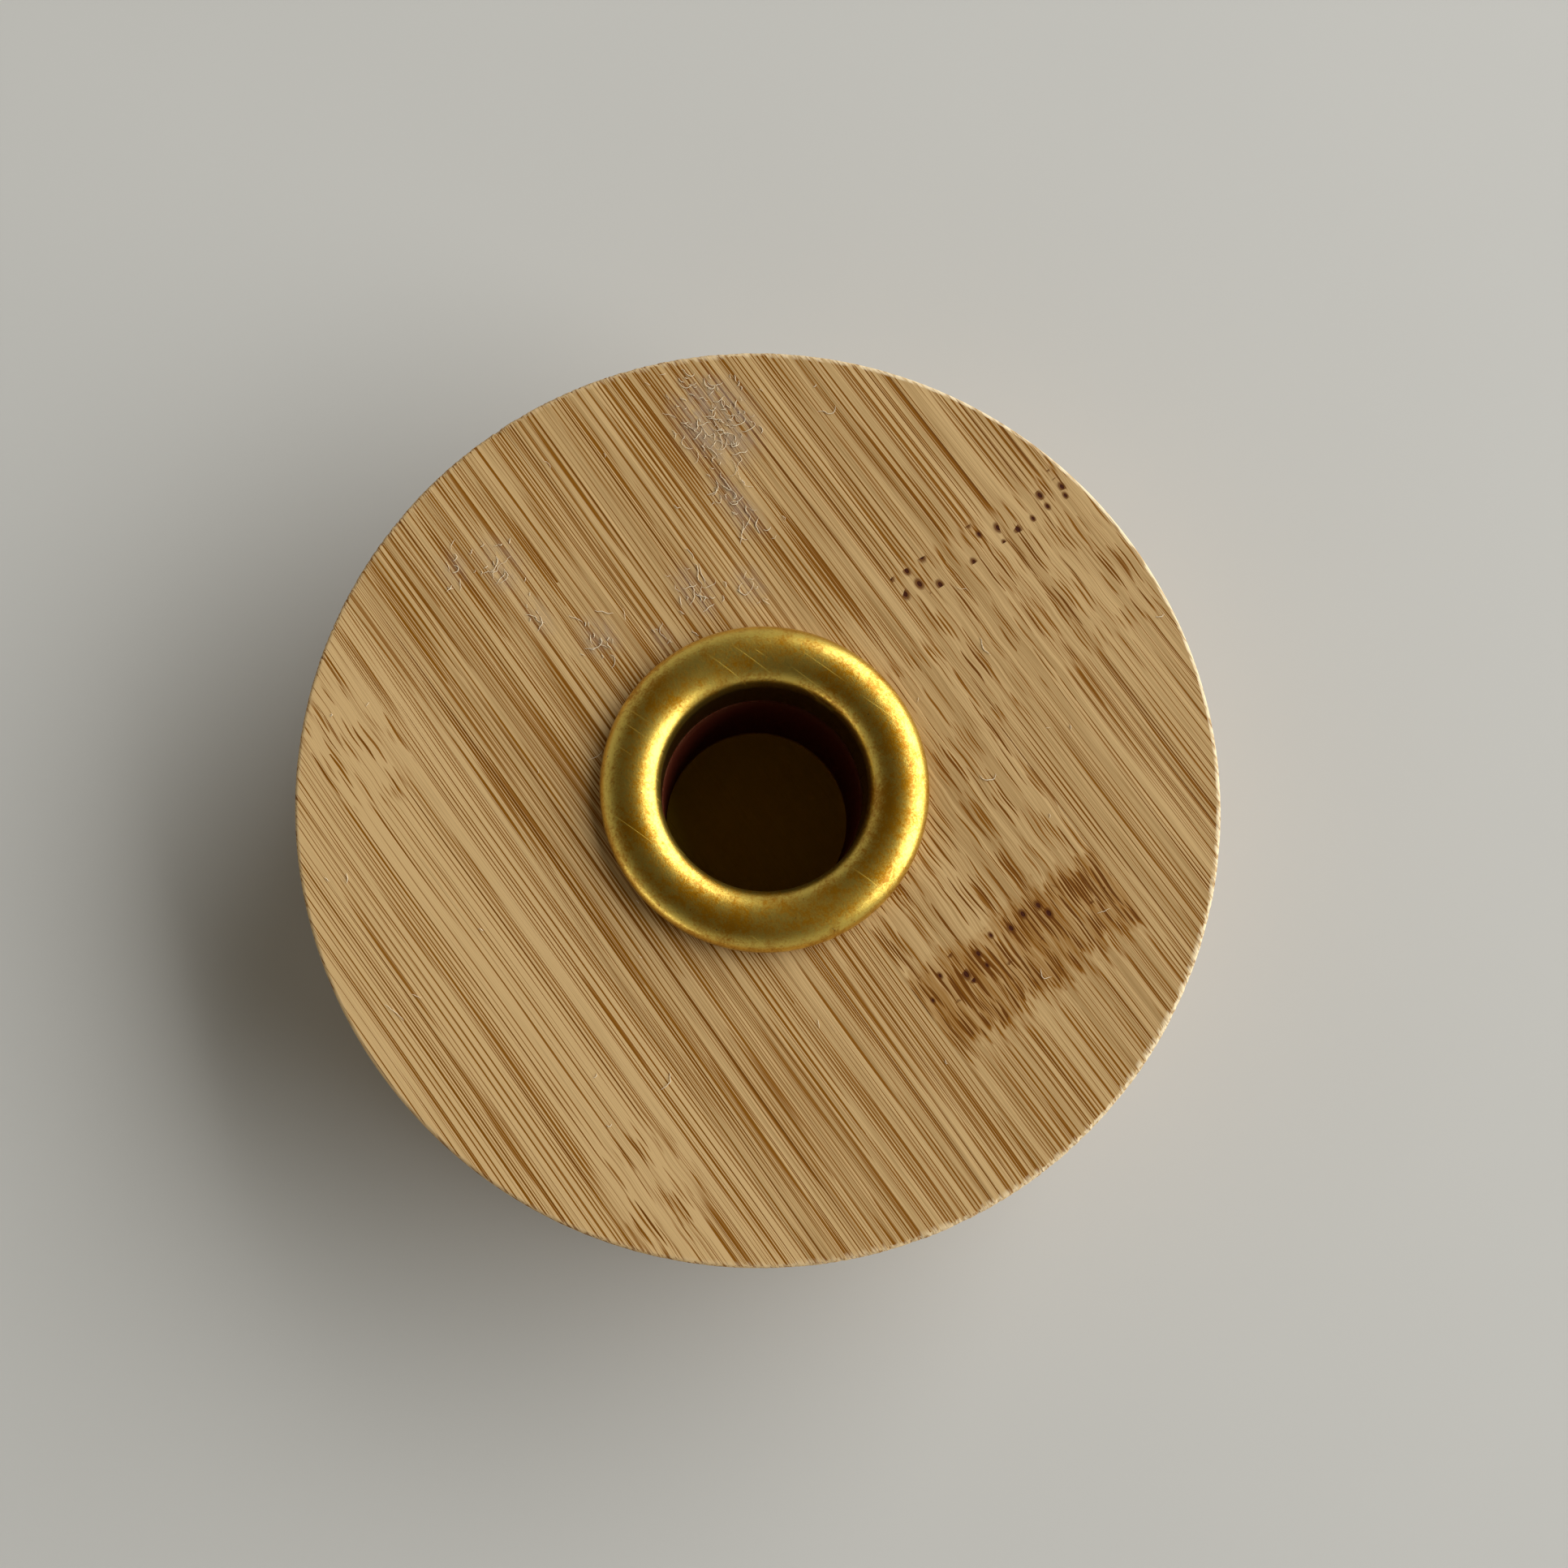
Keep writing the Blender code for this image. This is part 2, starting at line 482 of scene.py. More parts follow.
    def worn_and_lit_rim_share(self, graph: Graph, parts: Parts) -> Value:
        """How pale the rim is: a little all along it, and fully where fibres are torn. Its mask also holds a
        painted highlight, strongest on the side towards the window.
        """
        torn = graph.noise(graph.scaled(parts, (2.0, 0.35, 0.35)), detail=1.0).rises(0.32, 0.60)
        return graph.attribute("worn_and_lit_rim") * (0.15 + torn * 0.85)

    def pores(self, graph: Graph, parts: Parts) -> tuple[Value, Value]:
        """Dark oval pores, at most one in each cell of the pore row.

        A pore is where the root of (x / half length)^2 + (y / half width)^2 from its centre is under 1.

        Args:
            graph: The material's graph.
            parts: The place in the strip's bamboo.

        Returns:
            The share of the pores, and of their brown rims.
        """
        x, y, z = parts
        length, width = self.pore_pitch
        offset, random = graph.cells(graph.joined(x / length, y / width, z * 0.0), scatter=0.55)
        along, across, _ = graph.split(offset)
        _, luck, share = graph.split(random)
        far_along = along * (length / self.pore_half[0])
        far_across = across * (width / self.pore_half[1])
        distance = (far_along * far_along + far_across * far_across).root() / (0.65 + share * 0.7)
        row = graph.attribute("pore_row").rises(0.45, 0.55) * luck.rises(self.no_pore, self.no_pore + 0.02)
        return distance.falls(0.80, 1.05) * row, distance.falls(1.2, 2.6) * 0.9 * row

    def scuffs(self, graph: Graph, parts: Parts) -> Value:
        """Greyed, rubbed patches, broken up by noise."""
        patch = graph.noise(graph.scaled(parts, (3.2, 1.1, 3.0)), detail=3.0, roughness=0.75)
        return graph.attribute("scuff") * patch.rises(0.30, 0.66)


@dataclass(frozen=True)
class BrassFinish:
    """Rolled brass under a thin lacquer, with a satin sheen, uneven tarnish, a few fine scratches, and painted
    shade down the barrel and on the lip's top.

    Attributes:
        cloud_size: The size of the large patches of tarnish, in mm.
        mottle_size: The size of the small ones.
        speckle_size: The size of the finest specks.
        scratch_cell: The length and width of the cell that may hold one scratch, in mm.
        scratch_way: The scratches' direction, as its parts along X and Y.
        no_scratch: The share of the cells that hold none.
    """

    bright: Colour = (0.76, 0.550, 0.095)
    tarnished: Colour = (0.44, 0.195, 0.0)
    spot: Colour = (0.16, 0.060, 0.006)
    # Painted shade for the barrel inside the wood.
    barrel_painted_shade: Colour = (0.085, 0.026, 0.004)
    cloud_size: float = 5.0
    mottle_size: float = 1.1
    speckle_size: float = 0.28
    scratch_cell: tuple[float, float] = (8.0, 1.3)
    scratch_way: tuple[float, float] = (0.94, 0.34)
    no_scratch: float = 0.70

    def material(self) -> bpy.types.Material:
        """The node material, which reads the masks of painted shade that the ferrule's mesh holds: down the
        barrel and on the lip's top.

        Returns:
            The ferrule's material.
        """
        graph = Graph("satin_brass")
        parts = graph.split(graph.place_mm())
        cloud = graph.noise(graph.scaled(parts, (self.cloud_size,) * 3), detail=4.0, roughness=0.65)
        mottle = graph.noise(graph.scaled(parts, (self.mottle_size,) * 3), detail=4.0, roughness=0.75)
        speckle = graph.noise(graph.scaled(parts, (self.speckle_size,) * 3), detail=3.0, roughness=0.7)
        uneven = (cloud - 0.5) * 2.6 + (mottle - 0.5) * 2.0 + (speckle - 0.5) * 2.6
        # The extra tarnish on the lip's top is painted shade: that face sees the dark ceiling.
        tarnish = (uneven + 0.22 + graph.attribute("crown_shade") * 0.42).clamped()
        spots = graph.noise(graph.scaled(parts, (0.5, 0.5, 0.5)), detail=2.0).rises(0.70, 0.78)
        scratch = self.scratches(graph, parts)
        colour = graph.mix(tarnish, self.bright, self.tarnished)
        colour = graph.mix(spots * 0.8, colour, self.spot)
        colour = graph.mix(scratch * 0.8, colour, self.bright)
        # Painted shade inside the barrel, where it goes down into the wood.
        colour = graph.mix(graph.attribute("barrel") * 0.9, colour, self.barrel_painted_shade)
        roughness = 0.32 + tarnish * 0.10 + (speckle - 0.5) * 0.12 + scratch * 0.18
        grain = graph.noise(graph.scaled(parts, (0.13, 0.13, 0.13)), detail=2.0)
        return graph.finish(
            Base_Color=colour,
            Metallic=1.0,
            Roughness=roughness.clamped(),
            Coat_Weight=0.40,
            Coat_Roughness=0.27,
            Coat_IOR=1.6,
            Normal=graph.bump(grain * 0.009 + speckle * 0.012),
        )

    def scratches(self, graph: Graph, parts: Parts) -> Value:
        """A few thin straight lines on one slant: long narrow cells, of which few hold a line.

        Args:
            graph: The material's graph.
            parts: The place in mm.

        Returns:
            1 on a scratch's middle, and 0 off it.
        """
        x, y, z = parts
        length, width = self.scratch_cell
        way_x, way_y = self.scratch_way
        slant = x * way_x + y * way_y
        cross = y * way_x - x * way_y
        offset, random = graph.cells(graph.joined(slant / length, cross / width, z / 60.0))
        along, across, _ = graph.split(offset)
        kept = graph.split(random)[0].rises(self.no_scratch, self.no_scratch + 0.02)
        near = abs(across + along * 0.12) * width
        return near.falls(0.018, 0.05) * (1.0 - along * along * 6.0).clamped() * kept


@dataclass(frozen=True)
class FloorFinish:
    """A plain, pale, matt table top, and its slightly darker tone as a share."""

    colour: Colour = (0.600, 0.600, 0.575)
    darker: float = 0.96

    def material(self) -> bpy.types.Material:
        """The node material, with a faint unevenness of tone.

        Returns:
            The floor's material.
        """
        graph = Graph("pale_floor")
        tone = graph.noise(graph.scaled(graph.split(graph.place_mm()), (60.0, 60.0, 60.0)), detail=2.0)
        colour = graph.mix(tone, self.colour, tuple(self.darker * part for part in self.colour))
        return graph.finish(Base_Color=colour, Roughness=0.6, Specular_IOR_Level=0.20)


# ---------------------------------------------------------------- meshes


def add_piece(
    name: str, points: np.ndarray, faces: np.ndarray, caps: list, material: bpy.types.Material
) -> bpy.types.Object:
    """Makes an object of triangles and caps whose equal points are merged.

    Args:
        name: The piece's name.
        points: Points, one a row, in metres.
        faces: Triangles, as rows of three point numbers.
        caps: Further faces of any number of corners, as lists of point numbers.
        material: The finish.

    Returns:
        The object, at the origin, with its place in its mesh.
    """
    keys = np.round(points / MERGE_STEP).astype(np.int64)
    _, first, merged = np.unique(keys, axis=0, return_index=True, return_inverse=True)
    merged = merged.reshape(-1)
    triangles = merged[faces]
    whole = (triangles[:, 0] != triangles[:, 1]) & (triangles[:, 1] != triangles[:, 2])
    whole &= triangles[:, 2] != triangles[:, 0]
    rims = [list(dict.fromkeys(merged[cap].tolist())) for cap in caps]
    mesh = bpy.data.meshes.new(name)
    rims = [rim for rim in rims if len(rim) > 2]
    mesh.from_pydata(points[first].tolist(), [], triangles[whole].tolist() + rims)
    mesh.validate()
    mesh.shade_smooth()
    mesh.set_sharp_from_angle(angle=SHARP_EDGE)
    mesh.materials.append(material)
    piece = bpy.data.objects.new(name, mesh)
    bpy.context.scene.collection.objects.link(piece)
    return piece


def grid_triangles(rows: int, columns: int, start: int, kept: np.ndarray, flip: bool) -> np.ndarray:
    """The triangles of a grid of points.

    Args:
        rows: The number of rows of points. It is not used.
        columns: The number of points in a row.
        start: The number of the grid's first point.
        kept: One truth value for each cell of the grid, in rows - 1 rows.
        flip: Turns the faces over.

    Returns:
        Rows of three point numbers, two rows for each kept cell.
    """
    k, j = np.nonzero(kept)
    corner = start + k * columns + j
    a, b, c, d = corner, corner + 1, corner + columns + 1, corner + columns
    halves = np.concatenate([np.stack([a, b, c], 1), np.stack([a, c, d], 1)])
    return halves[:, ::-1] if flip else halves


def smooth_noise(at: np.ndarray, spacing: float, seed: int) -> np.ndarray:
    """One-dimensional noise: random values at even spacing, joined by a smooth step.

    Args:
        at: The places where it is wanted.
        spacing: The distance from one random value to the next.
        seed: The start of the random values.

    Returns:
        A number from -1 to 1 for each place.
    """
    values = np.random.default_rng(seed).uniform(-1.0, 1.0, NOISE_VALUES)
    place = at / spacing + NOISE_VALUES / 2
    left = np.floor(place).astype(int)
    share = place - left
    share = share * share * (3.0 - 2.0 * share)
    return values[left % NOISE_VALUES] * (1.0 - share) + values[(left + 1) % NOISE_VALUES] * share


def set_numbers(mesh: bpy.types.Mesh, name: str, numbers: np.ndarray) -> None:
    """Gives each point of a mesh a number under a name."""
    mesh.attributes.new(name, "FLOAT", "POINT").data.foreach_set("value", numbers.astype(np.float32))


def fall(share: np.ndarray) -> np.ndarray:
    """The smooth step 3 s^2 - 2 s^3 of a share that is held between 0 and 1."""
    held = np.clip(share, 0.0, 1.0)
    return held * held * (3.0 - 2.0 * held)


def mesh_points(mesh: bpy.types.Mesh) -> np.ndarray:
    """The points of a mesh, one a row."""
    flat = np.zeros(len(mesh.vertices) * 3, np.float32)
    mesh.vertices.foreach_get("co", flat)
    return flat.reshape(-1, 3)


# ---------------------------------------------------------------- the bamboo block


@dataclass(frozen=True)
class Mark:
    """A soft oval area of a top strip, in mm from the block's axis.

    Attributes:
        x: Its centre along the fibres.
        y: Its centre across the fibres.
        half_x: Its half length.
        half_y: Its half width.
        strength: Its value in the middle.
    """

    x: float
    y: float
    half_x: float
    half_y: float
    strength: float = 1.0

    def at(self, points_mm: np.ndarray) -> np.ndarray:
        """Full strength to half the half sizes, falling smoothly to 0 at one and a half times them."""
        far = np.hypot((points_mm[:, 0] - self.x) / self.half_x, (points_mm[:, 1] - self.y) / self.half_y)
        return self.strength * fall(1.5 - far)


@dataclass(frozen=True)
class Bar:
    """A soft rectangle of a top strip that ends at the strip's glue joints, in mm along the fibres.

    Attributes:
        x: Its centre along the fibres.
        half_x: Its half length.
        fade: The length over which it fades.
    """

    x: float
    half_x: float
    fade: float = 2.0

    def at(self, points_mm: np.ndarray) -> np.ndarray:
        """1 within the half length, falling smoothly to 0 over the fade."""
        far = np.abs(points_mm[:, 0] - self.x) - self.half_x
        return fall(1.0 - far / self.fade)


@dataclass(frozen=True)
class TopMarks:
    """What tells one strip of the top ply from the next: its tone, its nodes and where it is rubbed."""

    tone: float = 0.0
    waves: tuple[Mark | Bar, ...] = ()
    streaks: tuple[Bar, ...] = ()
    pore_rows: tuple[Bar, ...] = ()

    def put_on(self, mesh: bpy.types.Mesh, points_mm: np.ndarray) -> None:
        """Writes the marks' masks on the mesh's points, whose places are given in mm."""
        for name, marks in (("wave", self.waves), ("streak", self.streaks), ("pore_row", self.pore_rows)):
            total = sum((mark.at(points_mm) for mark in marks), np.zeros(len(points_mm)))
            set_numbers(mesh, name, np.clip(total, 0.0, 1.0))


TOP_MARKS = {
    "top_ply_strip_1": TopMarks(
        tone=0.48,
        waves=(Mark(-29.0, -33.0, 7.0, 5.0, 0.9), Mark(27.0, -34.0, 7.0, 5.0, 0.8)),
    ),
    "top_ply_strip_2": TopMarks(tone=0.10),
    "top_ply_strip_3": TopMarks(
        waves=(Bar(17.0, 15.0, 9.0),),
        streaks=(Bar(30.4, 1.9, 5.5),),
        pore_rows=(Bar(28.3, 2.0, 0.6),),
    ),
    "top_ply_strip_4": TopMarks(waves=(Bar(-1.0, 6.0, 7.0),), pore_rows=(Bar(-9.0, 1.7, 0.6),)),
}
SCUFFS = (
    Mark(-37.0, 20.0, 5.0, 4.0, 1.0),
    Mark(-27.5, 16.2, 4.0, 1.6, 0.7),
    Mark(-19.5, 12.0, 2.2, 1.6, 0.5),
    Mark(-22.3, 6.5, 3.2, 2.0, 0.5),
    Mark(-19.8, 0.7, 1.9, 1.1, 0.4),
    Mark(-24.0, -5.0, 2.4, 2.0, 0.6),
    Mark(-37.0, -9.0, 3.0, 2.2, 0.5),
    Mark(-30.0, -9.0, 2.5, 1.2, 0.4),
    Mark(-39.5, -13.5, 2.0, 1.5, 0.4),
)


@dataclass(frozen=True)
class LiftedFibres:
    """Fine pale fibres that rubbing has lifted, each a thin closed tube that lies curled on the top face.

    Attributes:
        density: How many lie on each square millimetre of a scuff of full strength.
        stray: How many lie elsewhere on the whole block.
        crowding: The spread of a scuff's fibres, as a share of its half sizes.
        slant: The spread of the headings that the fibres start on, in radians.
        bend: The spread of their steady bends, in radians.
        kink: The spread of their small turns, in radians.
        thickness: The largest radius of a fibre.
        lift: How high the middle of a fibre may arch.
        hover: Its clearance from the wood.
    """

    density: float = 1.5
    stray: int = 56
    crowding: float = 0.62
    steps: int = 13
    sides: int = 5
    shortest: float = 0.6 * MM
    longest: float = 3.4 * MM
    slant: float = 0.40
    bend: float = 1.2
    kink: float = 0.30
    thickness: float = 0.048 * MM
    lift: float = 0.09 * MM
    hover: float = 0.01 * MM
    ferrule_radius: float = 17.9 * MM
    block_radius: float = 49.0 * MM
    joint_gap: float = 0.1 * MM

    def centres(self, random: np.random.Generator) -> np.ndarray:
        """The fibres' middles on the whole block: crowded on the scuffs, and a few strays.

        Args:
            random: The fibres' random numbers.

        Returns:
            The middles in metres, one a row.
        """
        counts = [int(self.density * 4.0 * mark.half_x * mark.half_y * mark.strength) for mark in SCUFFS]
        crowds = [
            (mark.x, mark.y) + random.normal(0.0, self.crowding, (count, 2)) * (mark.half_x, mark.half_y)
            for mark, count in zip(SCUFFS, counts)
        ]
        return np.concatenate([*crowds, random.uniform(-48.0, 48.0, (self.stray, 2))]) * MM

    def paths(self, random: np.random.Generator, top: float) -> np.ndarray:
        """Draws the fibres' middle lines.

        A fibre's heading is a random start, plus a steady bend, plus the sum of small random turns. Its
        length grows with the cube of a random number, so that most fibres are short.

        Args:
            random: The source of the random choices.
            top: The height of the wood's face.

        Returns:
            An array of fibres, steps and X, Y, Z.
        """
        middle = self.centres(random)
        count = len(middle)
        share = np.linspace(0.0, 1.0, self.steps)
        start = random.normal(0.0, self.slant, (count, 1))
        bend = random.normal(0.0, self.bend, (count, 1)) * share
        turns = np.cumsum(random.normal(0.0, self.kink, (count, self.steps)), axis=1)
        heading = start + bend + turns
        length = self.shortest + random.uniform(0.0, 1.0, (count, 1)) ** 3 * (self.longest - self.shortest)
        step = length / self.steps
        x = np.cumsum(np.cos(heading) * step, axis=1)
        y = np.cumsum(np.sin(heading) * step, axis=1)
        x = x - x.mean(axis=1, keepdims=True) + middle[:, :1]
        y = y - y.mean(axis=1, keepdims=True) + middle[:, 1:]
        arch = np.sin(math.pi * share) ** 2 * random.uniform(0.0, 1.0, (count, 1))
        z = top + self.hover + self.thickness + self.lift * arch
        return np.stack([x, y, z], axis=-1)

    def tubes(self, seed: int, low_y: float, high_y: float, top: float) -> tuple[np.ndarray, np.ndarray]:
        """Makes the tubes of the fibres that lie whole on one strip.

        A tube's radius follows the root of a half sine wave along it, so that both ends close to a point.

        Args:
            seed: The start of the random choices.
            low_y: The strip's side with the lower Y.
            high_y: Its other side.
            top: The height of the wood's face.

        Returns:
            The points, and the triangles as rows of three point numbers.
        """
        random = np.random.default_rng(seed)
        paths = self.paths(random, top)
        far = np.hypot(paths[..., 0], paths[..., 1])
        clear = (far > self.ferrule_radius) & (far < self.block_radius)
        clear &= (paths[..., 1] > low_y + self.joint_gap) & (paths[..., 1] < high_y - self.joint_gap)
        paths = paths[clear.all(axis=1)]
        tangent = np.gradient(paths, axis=1)
        tangent /= np.linalg.norm(tangent, axis=-1, keepdims=True)
        left = np.stack([-tangent[..., 1], tangent[..., 0], np.zeros_like(tangent[..., 0])], axis=-1)
        up = np.cross(tangent, left)
        turn = np.linspace(0.0, 2.0 * math.pi, self.sides + 1)
        turn[-1] = 0.0
        full = self.thickness * random.uniform(0.45, 1.0, (len(paths), 1))
        radius = full * np.sqrt(np.sin(np.linspace(0.0, math.pi, self.steps)).clip(0.0))
        ring = left[:, :, None] * np.cos(turn)[:, None] + up[:, :, None] * np.sin(turn)[:, None]
        points = paths[:, :, None] + ring * radius[:, :, None, None]
        kept = np.ones((self.steps - 1, self.sides), bool)
        one = grid_triangles(self.steps, self.sides + 1, 0, kept, flip=False)
        starts = np.arange(len(paths))[:, None, None] * (self.steps * (self.sides + 1))
        return points.reshape(-1, 3), (one[None] + starts).reshape(-1, 3)


@dataclass
class BambooStrip:
    """One glued strip, cut by the turned block and by the stepped socket.

    Its cross-section at each place across the fibres is a path: up the outer wall, in over the top face, down
    the socket's wall and back under the bottom face. The path is carried across the strip, for both of the
    block's sides, and the two sides meet where the socket doesn't part them.

    Attributes:
        node: The CAD node that it stands for.
        radius: The block's radius.
        low: The lowest corner of the node's box.
        high: The highest corner of the node's box.
        bore: The socket's wall within this ply as (radius, height) points from its top down. It is empty on a
            strip that the socket doesn't meet, and its last radius is 0 where the socket ends in a floor.
        seed: The start of the strip's random choices.
        fray: How far the fibres' ends may be torn back.
        joint: The half gap that is left between neighbouring strips.
        glue_line: The height of the glue that shows on each side of a joint.
        rim_highlight_heading: The heading towards the window light, where the rim's painted highlight is
            strongest, in degrees.
        cad_gap: The half gap between the CAD nodes.
        fine_step: The turn between places across a top strip, in degrees.
        shift_range: How far, in mm, a strip's own stretch of grain may lie from the next one's.
        tones: The least and the greatest tone of a strip below the top ply.
    """

    node: str
    radius: float
    low: Vector
    high: Vector
    bore: tuple[tuple[float, float], ...]
    seed: int
    rim_round: float = 0.40 * MM
    joint_break: float = 0.07 * MM
    fray: float = 0.24 * MM
    joint: float = 0.005 * MM
    glue_line: float = 0.13 * MM
    rim_highlight_heading: float = 68.0
    cad_gap: float = 0.15 * MM
    fine_step: float = 0.16
    plain_step: float = 1.0
    bore_step: float = 4.0
    shift_range: float = 400.0
    tones: tuple[float, float] = (-0.24, 0.20)

    def __post_init__(self) -> None:
        """Works out which sides of the strip are glued, and draws its edges up to the joints."""
        self.is_top = self.node.startswith("top_ply")
        self.is_base = self.node.startswith("base_ply")
        snug = self.cad_gap - self.joint
        self.tip_low = self.box_reaches(self.low.y)
        self.tip_high = self.box_reaches(self.high.y)
        self.y_low = self.low.y if self.tip_low else self.low.y - snug
        self.y_high = self.high.y if self.tip_high else self.high.y + snug
        self.z_low = self.low.z if self.is_base else self.low.z - snug
        self.z_high = self.high.z if self.is_top else self.high.z + snug

    def box_reaches(self, y: float) -> bool:
        """True where the strip's side is the block's own edge and not a glue joint."""
        return abs(y) > self.radius - 1.0 * MM

    def across(self) -> np.ndarray:
        """Places across the strip: at even turns round the block, and more at even turns round the socket.

        Returns:
            Shares of the strip's width, from 0 to 1.
        """
        step = math.radians(self.fine_step if self.is_top else self.plain_step)
        start = math.asin(max(self.y_low / self.radius, -1.0))
        end = math.asin(min(self.y_high / self.radius, 1.0))
        places = self.radius * np.sin(np.linspace(start, end, max(int((end - start) / step), 12) + 1))
        for radius, _ in self.bore:
            turned = radius * np.sin(np.radians(np.arange(-90.0, 91.0, self.bore_step)))
            places = np.append(places, turned[(turned > self.y_low) & (turned < self.y_high)])
        places = np.unique(np.round(places, 8))
        return (places - places[0]) / (places[-1] - places[0])

    def placed(self, radius: float, share: np.ndarray) -> np.ndarray:
        """The Y of each place across, on a row of the given outer radius: a glued side stays where it is."""
        start = -radius if self.tip_low else self.y_low
        end = radius if self.tip_high else self.y_high
        return start + (end - start) * share

    def wall_profile(self) -> list[tuple[float, float, float]]:
        """Draws the outer wall, with a quarter round at its lower and its upper edge.

        Returns:
            (radius, height, fraying) points from the bottom up. The fraying grows over the top ply's rim.
        """
        lower = self.rim_round if self.is_base else self.joint_break
        upper = self.rim_round if self.is_top else self.joint_break
        turns = np.linspace(0.0, 90.0, 6 if self.is_top or self.is_base else 2)
        rows = []
        for turn in np.radians(turns):
            inset = lower * (1.0 - math.sin(turn))
            rows.append((self.radius - inset, self.z_low + lower * (1.0 - math.cos(turn)), 0.3))
        start = self.z_low + max(lower, self.glue_line)
        end = self.z_high - max(upper, self.glue_line)
        for height in (start + 0.1 * MM, *np.linspace(start + 0.4 * MM, end - 0.4 * MM, 8), end - 0.1 * MM):
            rows.append((self.radius, height, 0.25))
        for turn in np.radians(turns):
            inset = upper * (1.0 - math.cos(turn))
            torn = 0.25 + 0.65 * turn / math.radians(90.0) if self.is_top else 0.3
            rows.append((self.radius - inset, self.z_high - upper * (1.0 - math.sin(turn)), torn))
        return rows

    def rows(self, side: int) -> np.ndarray:
        """Works out the path's points for one side of the block.

        The outline is the root of radius squared less Y squared, with the fraying taken off it.

        Args:
            side: 1 for the side towards +X, and -1 for the other.

        Returns:
            An array of rows, places across and X, Y, Z.
        """
        share = self.across()
        rows = []
        for radius, height, fraying in self.wall_profile():
            y = self.placed(radius, share)
            x = np.sqrt(np.clip(radius**2 - y**2, 0.0, None))
            rows.append((x - self.frayed(y, x, side, height) * fraying, y, np.full_like(y, height)))
        rim_x, y, _ = rows[-1]
        low_x, low_y, _ = rows[0]
        inner = self.reach(self.bore[0][0] if self.bore else 0.0, y)
        for part in np.linspace(0.0, 1.0, 90 if self.is_top else 5)[1:]:
            rows.append((rim_x + (inner - rim_x) * part, y, np.full_like(y, self.z_high)))
        for radius, height in self.bore[1:]:
            rows.append((self.reach(radius, y), y, np.full_like(y, height)))
        last = self.reach(self.bore[-1][0] if self.bore else 0.0, low_y)
        for part in np.linspace(0.0, 1.0, 4)[:-1]:
            rows.append((last + (low_x - last) * part, low_y, np.full_like(y, self.z_low)))
        grid = np.stack([np.stack(row, 1) for row in rows])
        grid[..., 0] = np.clip(grid[..., 0], 0.0, None) * side
        return grid

    def reach(self, radius: float, y: np.ndarray) -> np.ndarray:
        """Half the socket's width along X at each Y, or 0 past its edge."""
        return np.sqrt(np.clip(radius**2 - y**2, 0.0, None))

    def frayed(self, y: np.ndarray, x: np.ndarray, side: int, height: float) -> np.ndarray:
        """How far the fibres' ends stop short of the outline.

        It is the square of noise across the fibres, plus larger chips where a slower noise is high, plus a
        little noise that changes up the wall. All of it grows with the square of X over the radius, because
        only the fibres' ends fray.

        Args:
            y: The places across.
            x: The outline's half length at each place.
            side: 1 or -1, as in rows.
            height: The height of the row.

        Returns:
            A length for each place.
        """
        seed = self.seed * 7 + side
        torn = 0.5 + 0.5 * smooth_noise(y, 0.21 * MM, seed)
        chips = np.clip(smooth_noise(y, 0.9 * MM, seed + 3) - 0.45, 0.0, None) * 1.6
        level = 0.2 * smooth_noise(y + 40.0 * height, 0.4 * MM, seed + 5)
        exposed = (x / self.radius) ** 2
        return self.fray * exposed * np.clip(torn**2 + chips + level, 0.0, None)

    def build(self, material: bpy.types.Material) -> bpy.types.Object:
        """Makes the strip's piece and dresses it.

        Args:
            material: The bamboo's finish.

        Returns:
            The piece, which stands for the strip's node.
        """
        points, faces, caps = [], [], []
        start = 0
        for side in (1, -1):
            grid = self.rows(side)
            count, columns, _ = grid.shape
            loop = np.concatenate([grid, grid[:1]])
            inside = np.abs(loop[..., 0]) < 0.001 * MM
            kept = ~(inside[:-1, :-1] & inside[1:, :-1] & inside[:-1, 1:] & inside[1:, 1:])
            points.append(loop.reshape(-1, 3))
            faces.append(grid_triangles(count + 1, columns, start, kept, flip=side < 0))
            order = np.arange(count)
            for glued, column, turn in ((not self.tip_low, 0, 1), (not self.tip_high, columns - 1, -1)):
                if glued:
                    caps.append(start + order[:: turn * side] * columns + column)
            start += len(points[-1])
        if self.is_top:
            tube_points, tube_faces = LiftedFibres().tubes(self.seed, self.y_low, self.y_high, self.z_high)
            points.append(tube_points)
            faces.append(tube_faces + start)
        name = self.node.replace("_strip", "_bamboo")
        piece = add_piece(name, np.concatenate(points), np.concatenate(faces), caps, material)
        self.dress(piece.data)
        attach(piece, BODY)
        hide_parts(self.node)
        return piece

    def dress(self, mesh: bpy.types.Mesh) -> None:
        """Gives the mesh its own stretch of grain, its tone, its glue lines and the marks of its place.

        Args:
            mesh: The strip's mesh.
        """
        random = np.random.default_rng(self.seed)
        points_mm = mesh_points(mesh) / MM
        shift = np.tile(random.uniform(-self.shift_range, self.shift_range, 3), (len(points_mm), 1))
        shifts = mesh.attributes.new("strip_shift", "FLOAT_VECTOR", "POINT")
        shifts.data.foreach_set("vector", shift.astype(np.float32).ravel())
        marks = TOP_MARKS.get(self.node)
        tone = marks.tone if marks else random.uniform(*self.tones)
        set_numbers(mesh, "strip_tone", np.full(len(points_mm), tone))
        if marks:
            marks.put_on(mesh, points_mm)
            self.dress_top(mesh, points_mm)
        if self.bore:
            self.dress_bore(mesh, points_mm)
        from_joint = np.full(len(points_mm), 2.0 * self.glue_line / MM)
        if not self.is_base:
            from_joint = np.minimum(from_joint, points_mm[:, 2] - self.z_low / MM)
        if not self.is_top:
            from_joint = np.minimum(from_joint, self.z_high / MM - points_mm[:, 2])
        set_numbers(mesh, "glue", from_joint < self.glue_line / MM)

